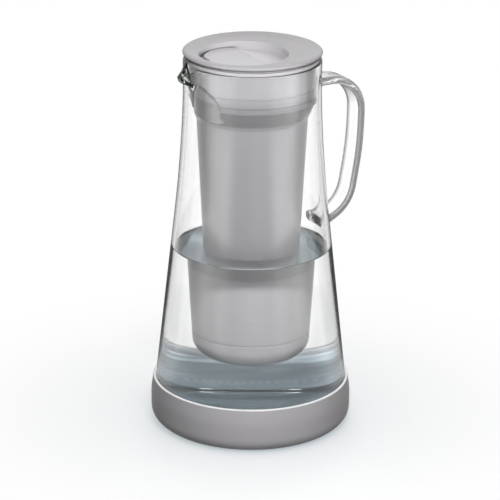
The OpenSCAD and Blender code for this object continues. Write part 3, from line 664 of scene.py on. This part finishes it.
for texture in (grain, cloud, scuff_place):
    moulded_grain.links.new(place, texture.inputs["Vector"])
moulded_grain.links.new(scuff_place.outputs[0], scuff.inputs["Vector"])
scuffed = ramp(moulded_grain, scuff.outputs["Fac"], *scuff_shows)
scuffed = calculate(moulded_grain, "MULTIPLY", scuffed, given["Scuffs"])
tone = ramp(moulded_grain, cloud.outputs["Fac"], 0.25, 0.75, *tone_swing, smooth=False)
toned = blend_colours(moulded_grain, 1.0, given["Colour"], tone, "MULTIPLY")
lighter = blend_colours(moulded_grain, scuffed, toned, scuff_colour)
rough = ramp(moulded_grain, grain.outputs["Fac"], 0.2, 0.8, *gloss_swing, smooth=False)
rough = calculate(moulded_grain, "ADD", given["Gloss"], rough)
dull = calculate(moulded_grain, "MULTIPLY", scuffed, scuff_dulls)
rough = calculate(moulded_grain, "ADD", rough, dull, clamp=True)
moulded_grain.links.new(lighter, result["Colour"])
moulded_grain.links.new(rough, result["Roughness"])
moulded_grain.links.new(grain.outputs["Fac"], result["Height"])


def grained_material(name, colour, gloss, grain, relief, scuffs=0.25, metallic=0.0):
    """A material with the moulded texture; gloss is the roughness of its skin."""
    material = bpy.data.materials.new(name)
    material.use_nodes = True
    tree = material.node_tree
    body = tree.nodes["Principled BSDF"]
    body.inputs["Metallic"].default_value = metallic
    skin = place_group(
        tree, moulded_grain, Colour=(*colour, 1), Grain=grain, Gloss=gloss, Scuffs=scuffs
    )
    tree.links.new(skin.outputs["Colour"], body.inputs["Base Color"])
    tree.links.new(skin.outputs["Roughness"], body.inputs["Roughness"])
    bump = place_node(tree, "ShaderNodeBump", Strength=relief, Distance=grain_depth)
    tree.links.new(skin.outputs["Height"], bump.inputs["Height"])
    tree.links.new(bump.outputs[0], body.inputs["Normal"])
    return material


silicone_grey = (0.395, 0.384, 0.398)


def grey_silicone(name):
    """Matt grey silicone rubber."""
    return grained_material(name, silicone_grey, 0.55, 1800.0, 0.35, scuffs=0.1)


def off_axis(tree, place):
    """The distance of a place from the jug's axis, or from one beside it."""
    return measure(tree, "LENGTH", measure(tree, "MULTIPLY", place, (1, 1, 0)))


def stretch(tree, value, begins, full, fades, gone):
    """1 along a stretch of values and 0 outside it, with eased ends."""
    rising, falling = ramp(tree, value, begins, full), ramp(tree, value, fades, gone, 1.0, 0.0)
    return calculate(tree, "MULTIPLY", rising, falling)


boot_r, boot_lip_r, boot_shoulder_z = 70.37, 68.80, 22
sole_round, boot_shoulder_round, lip_round, inner_lip_round = 10.4, 30, 0.6, 0.3
bm = turned([
    (0, 0, 0),
    (boot_r, 0, sole_round),
    (boot_r, boot_shoulder_z, boot_shoulder_round),
    (boot_lip_r, boot_top_z, lip_round),
    (cone_r(boot_top_z), boot_top_z, inner_lip_round),
    (foot_r, floor_z, foot_round),
    (0, floor_z, 0),
])

# Painted light: the inner faces, seen through the glass, are painted pale, and the lip's top
# carries a painted highlight.
lit_inner_deep, lit_inner_pale, shaded_inner = (0.66, 0.73, 0.78), (0.84, 0.89, 0.92), (0.12, 0.14, 0.15)
painted_lip_highlight, gleam_tint = (0.90, 0.89, 0.90), (0.93, 0.97, 1.0)
boot_silicone = grey_silicone("boot_silicone")
tree = boot_silicone.node_tree
body = tree.nodes["Principled BSDF"]
place, along = place_on_object(tree)
across = off_axis(tree, place)

# The inner faces: within the cone of the glass, above the sole, and on the glass's
# side of the rounded corner below. All in metres.
cone_base_r = (foot_r + floor_z * cone_slope) / 1000
outside_cone = (cone_base_r + 0.0002, cone_base_r + 0.0005)
above_sole_z, corner_r, corner_z = (0.0022, 0.0028), 0.0583, (floor_z + foot_round) / 1000
beyond_corner, lip_z = (0.0121, 0.0123), (0.0316, 0.0322)
sloped = calculate(tree, "MULTIPLY", along["Z"], cone_slope)
within = ramp(tree, calculate(tree, "ADD", across, sloped), *outside_cone, 1.0, 0.0)
inner = calculate(tree, "MULTIPLY", within, ramp(tree, along["Z"], *above_sole_z))
drop = calculate(tree, "MAXIMUM", calculate(tree, "SUBTRACT", corner_z, along["Z"]))
out = calculate(tree, "MAXIMUM", calculate(tree, "SUBTRACT", across, corner_r))
drop, out = (calculate(tree, "POWER", part, 2.0) for part in (drop, out))
from_corner = calculate(tree, "SQRT", calculate(tree, "ADD", drop, out))
on_side = ramp(tree, from_corner, *beyond_corner, 1.0, 0.0)
inner = calculate(tree, "MULTIPLY", inner, on_side)

# The painted pale light is cloudy, and painted shade dims it low down to both sides.
shade_aside, shade_below_z = (0.020, 0.055), (0.016, 0.028)
aside = calculate(tree, "ABSOLUTE", measure(tree, "DOT_PRODUCT", place, across_jug))
cloudy = place_node(tree, "ShaderNodeTexNoise", Scale=60.0, Detail=4.0)
tree.links.new(place, cloudy.inputs["Vector"])
inner_light_and_shade = blend_colours(tree, cloudy.outputs["Fac"], lit_inner_deep, lit_inner_pale)
low_down = ramp(tree, along["Z"], *shade_below_z, 1.0, 0.0)
side_shade = calculate(tree, "MULTIPLY", ramp(tree, aside, *shade_aside), low_down)
inner_light_and_shade = blend_colours(tree, side_shade, inner_light_and_shade, shaded_inner)
colour = body.inputs["Base Color"]
inner_lit = blend_colours(tree, inner, colour.links[0].from_socket, inner_light_and_shade)
# A painted highlight on the lip's top.
lip = ramp(tree, along["Z"], *lip_z)
tree.links.new(blend_colours(tree, lip, inner_lit, painted_lip_highlight), colour)

# A painted glow, in emission, stands for the light that the foot of the glass gathers on
# them: streaks on the far side, with a brighter glint to the left and the right of the middle.
streak_place = place_node(tree, "ShaderNodeMapping")
streak_place.inputs["Scale"].default_value = (34.0, 34.0, 260.0)
tree.links.new(place, streak_place.inputs["Vector"])
streaks = place_node(tree, "ShaderNodeTexNoise", Scale=1.0, Detail=3.0, Distortion=0.8)
tree.links.new(streak_place.outputs[0], streaks.inputs["Vector"])
gleam_ends, gleam_z, gleam_share = (-0.035, 0.005), (0.011, 0.028), (0.05, 0.34)
sides_begin, side_gleam, glint_aside = (0.030, 0.058), 0.25, (0.016, 0.027, 0.027, 0.038)
plain_gleam, glint_gleam, between_streaks, on_streaks = 0.8, 2.3, 0.45, 1.8
nearness = measure(tree, "DOT_PRODUCT", place, towards_camera)
glint = stretch(tree, aside, *glint_aside)
gleam = ramp(tree, nearness, *gleam_ends, 1.0, 0.0)
for share in (
    ramp(tree, along["Z"], *gleam_z, *gleam_share),
    ramp(tree, aside, *sides_begin, 1.0, side_gleam),
    ramp(tree, glint, 0.0, 1.0, plain_gleam, glint_gleam),
    ramp(tree, streaks.outputs["Fac"], 0.36, 0.66, between_streaks, on_streaks),
    inner,
):
    gleam = calculate(tree, "MULTIPLY", gleam, share)
tree.links.new(
    blend_colours(tree, 1.0, gleam, gleam_tint, "MULTIPLY"), body.inputs["Emission Color"]
)
body.inputs["Emission Strength"].default_value = 1.0
fit_piece("silicone_boot", bm, boot_silicone, "jug", "silicone", "silicone_base")


# ---------------------------------------------------------------- seals
# Five rings of the same grey silicone: the neck gasket, which shows as a bright lip
# in the glass, the lid's and the cap's seals, and those of the two filters. Each is
# stretched into a groove.


def finish_nodes(material, *names):
    """Gives solids their material; their shapes stay as they are."""
    for name in names:
        mesh = cad_nodes[name].data
        mesh.materials.clear()
        mesh.materials.append(material)


silicone = grey_silicone("silicone")
finish_nodes(
    silicone, "neck_gasket", "lid_seal", "cap_seal", "carbon_gasket", "membrane_o_ring"
)


# ---------------------------------------------------------------- reservoir and cap
# Injection-moulded in a warm grey plastic with a fine spark-eroded texture: the long
# funnel that hangs in the neck by its flange, and the rounded cap that screws onto
# its lower end. The collar is glossier than the rest.

warm_grey = (0.455, 0.442, 0.456)


def satin_plastic(name, colour):
    """Moulded plastic with a satin skin."""
    return grained_material(name, colour, 0.30, 2600.0, 0.25)


def tone_skin(tree, tone):
    """Multiplies the colour that a moulded material has by a tone."""
    colour = tree.nodes["Principled BSDF"].inputs["Base Color"]
    skin_colour = colour.links[0].from_socket
    tree.links.new(blend_colours(tree, 1.0, skin_colour, tone, "MULTIPLY"), colour)


shell_plastic = satin_plastic("shell_plastic", warm_grey)
finish_nodes(shell_plastic, "filter_cap")

# Heights in metres: painted shade darkens the lower collar and a painted highlight lightens
# the upper one, and painted shade darkens the first 15 mm under the water line.
lower_collar_z, lower_collar_shade = (0.2245, 0.2275, 0.2385, 0.2425), 0.62
upper_collar_z, upper_collar_highlight = (0.242, 0.250), 1.32
under_water_z, under_water_shade = (0.1125, 0.1165, 0.1283, 0.1287), 0.76
collar_gloss_z, collar_gloss = (0.224, 0.228), 0.13
collar_plastic = satin_plastic("collar_plastic", warm_grey)
tree = collar_plastic.node_tree
_, along = place_on_object(tree)
tone = ramp(tree, along["Z"], *upper_collar_z, 1.0, upper_collar_highlight)
for band_z, band_shade in (
    (lower_collar_z, lower_collar_shade), (under_water_z, under_water_shade)
):
    band = ramp(tree, stretch(tree, along["Z"], *band_z), 0.0, 1.0, 1.0, band_shade)
    tone = calculate(tree, "MULTIPLY", tone, band)
tone_skin(tree, tone)
roughness = tree.nodes["Principled BSDF"].inputs["Roughness"]
glossier = ramp(tree, along["Z"], *collar_gloss_z, 0.0, collar_gloss)
tree.links.new(
    calculate(tree, "SUBTRACT", roughness.links[0].from_socket, glossier), roughness
)
finish_nodes(collar_plastic, "reservoir")


# ---------------------------------------------------------------- membrane cartridge
# A slotted white tube that twists into the reservoir: base, cage and cap are moulded
# and snapped together, and the bundle of fibres inside is cast into resin.

white_plastic = grained_material("white_plastic", (0.80, 0.81, 0.81), 0.35, 2200.0, 0.2)
resin = grained_material("resin", (0.70, 0.60, 0.38), 0.25, 900.0, 0.2, scuffs=0.0)
felt = grained_material("felt", (0.72, 0.70, 0.64), 0.9, 4200.0, 1.0, scuffs=0.0)
finish_nodes(white_plastic, "membrane_base", "membrane_cage", "membrane_cap")
finish_nodes(resin, "membrane_potting")
finish_nodes(felt, "membrane_fibres")


# ---------------------------------------------------------------- carbon filter
# A white moulded cup with a perforated cover, filled with loose carbon grains that
# are held between two pads of felt.

carbon = grained_material("carbon", (0.025, 0.025, 0.027), 0.7, 1500.0, 1.0, scuffs=0.0)
finish_nodes(white_plastic, "carbon_cup", "carbon_cover")
finish_nodes(felt, "carbon_bottom_pad", "carbon_top_pad")
finish_nodes(carbon, "carbon_media")


# ---------------------------------------------------------------- lid
# A slightly dished disc of the same grey plastic with a round well, and a plug ring
# welded under it. The scoop in the well carries painted light, and the well's wall painted
# shade at its foot beside the flap, with painted light above it.

scoop_middle, scoop_reach, painted_scoop_light = (-0.007, 0, 0.258), (0.024, 0.0315), 1.62
well_wall_r, wall_foot_z = (0.0301, 0.0306, 0.0308, 0.0313), (0.2638, 0.2650)
wall_foot_shade, painted_wall_light, flap_end_x = 0.40, 1.38, (0.000, 0.006)
finish_nodes(shell_plastic, "lid_plug_ring")
lid_plastic = satin_plastic("lid_plastic", warm_grey)
tree = lid_plastic.node_tree
place, along = place_on_object(tree)
from_scoop = measure(tree, "SUBTRACT", place, scoop_middle)
# Painted light on the scoop, and painted shade at the foot of the well's wall with painted
# light above it.
lit_scoop = ramp(tree, measure(tree, "LENGTH", from_scoop), *scoop_reach, painted_scoop_light, 1.0)
at_wall = stretch(tree, off_axis(tree, from_scoop), *well_wall_r)
up_wall = ramp(tree, along["Z"], *wall_foot_z, wall_foot_shade, painted_wall_light)
beside_flap = ramp(tree, along["X"], *flap_end_x, 1.0, 0.0)
up_wall = blend_colours(tree, beside_flap, grey(painted_wall_light), up_wall)
tone_skin(tree, blend_colours(tree, at_wall, lit_scoop, up_wall))
finish_nodes(lid_plastic, "lid")


# ---------------------------------------------------------------- fill flap
# A half-moon plate of the grey plastic, painted paler for the light that falls on it, with a
# painted highlight along its straight edge. It swings on a steel pin that is pressed into the
# lid.

straight_edge_x, edge_highlight = (0.0022, 0.0030), 1.35
flap_lit_grey = (0.62, 0.605, 0.62)
flap_plastic = satin_plastic("flap_plastic", flap_lit_grey)
tree = flap_plastic.node_tree
_, along = place_on_object(tree)
tone_skin(tree, ramp(tree, along["X"], *straight_edge_x, 1.0, edge_highlight))
finish_nodes(flap_plastic, "fill_flap")
steel = grained_material(
    "steel", (0.62, 0.62, 0.63), 0.3, 3000.0, 0.1, scuffs=0.3, metallic=1.0
)
finish_nodes(steel, "flap_hinge_pin")


# ---------------------------------------------------------------- water
# Filtered water, which fills a little under half of the jug's height. It laps 0.15 mm
# into the glass, so that no air shows between them, and creeps up the wall.

lap, creep, creep_across, creep_round, water_ior = 0.15, 1.3, 0.9, 1.2, 1.333
bm = turned([
    (0, inner_floor_z - lap, 0),
    (cone_r(inner_floor_z) - wall_across + lap, inner_floor_z - lap, inner_foot_round),
    (cone_r(water_z + creep) - wall_across + lap, water_z + creep, 0),
    (cone_r(water_z + creep) - wall_across - lap, water_z + creep, 0),
    (cone_r(water_z) - wall_across - creep_across, water_z, creep_round),
    (0, water_z, 0),
])
# The water's foot carries a painted bluish cast, like the glass's.
water = clear_material(
    "water", water_ior, painted_foot_shade=(0.90, 0.95, 0.97), shade_low=(1.22, 1.22, 1.23),
    shade_high=(0.06, 0.062, 0.064), line_z=0.1286,
)
fit_piece("water", bm, water, "jug", "clear_glass")
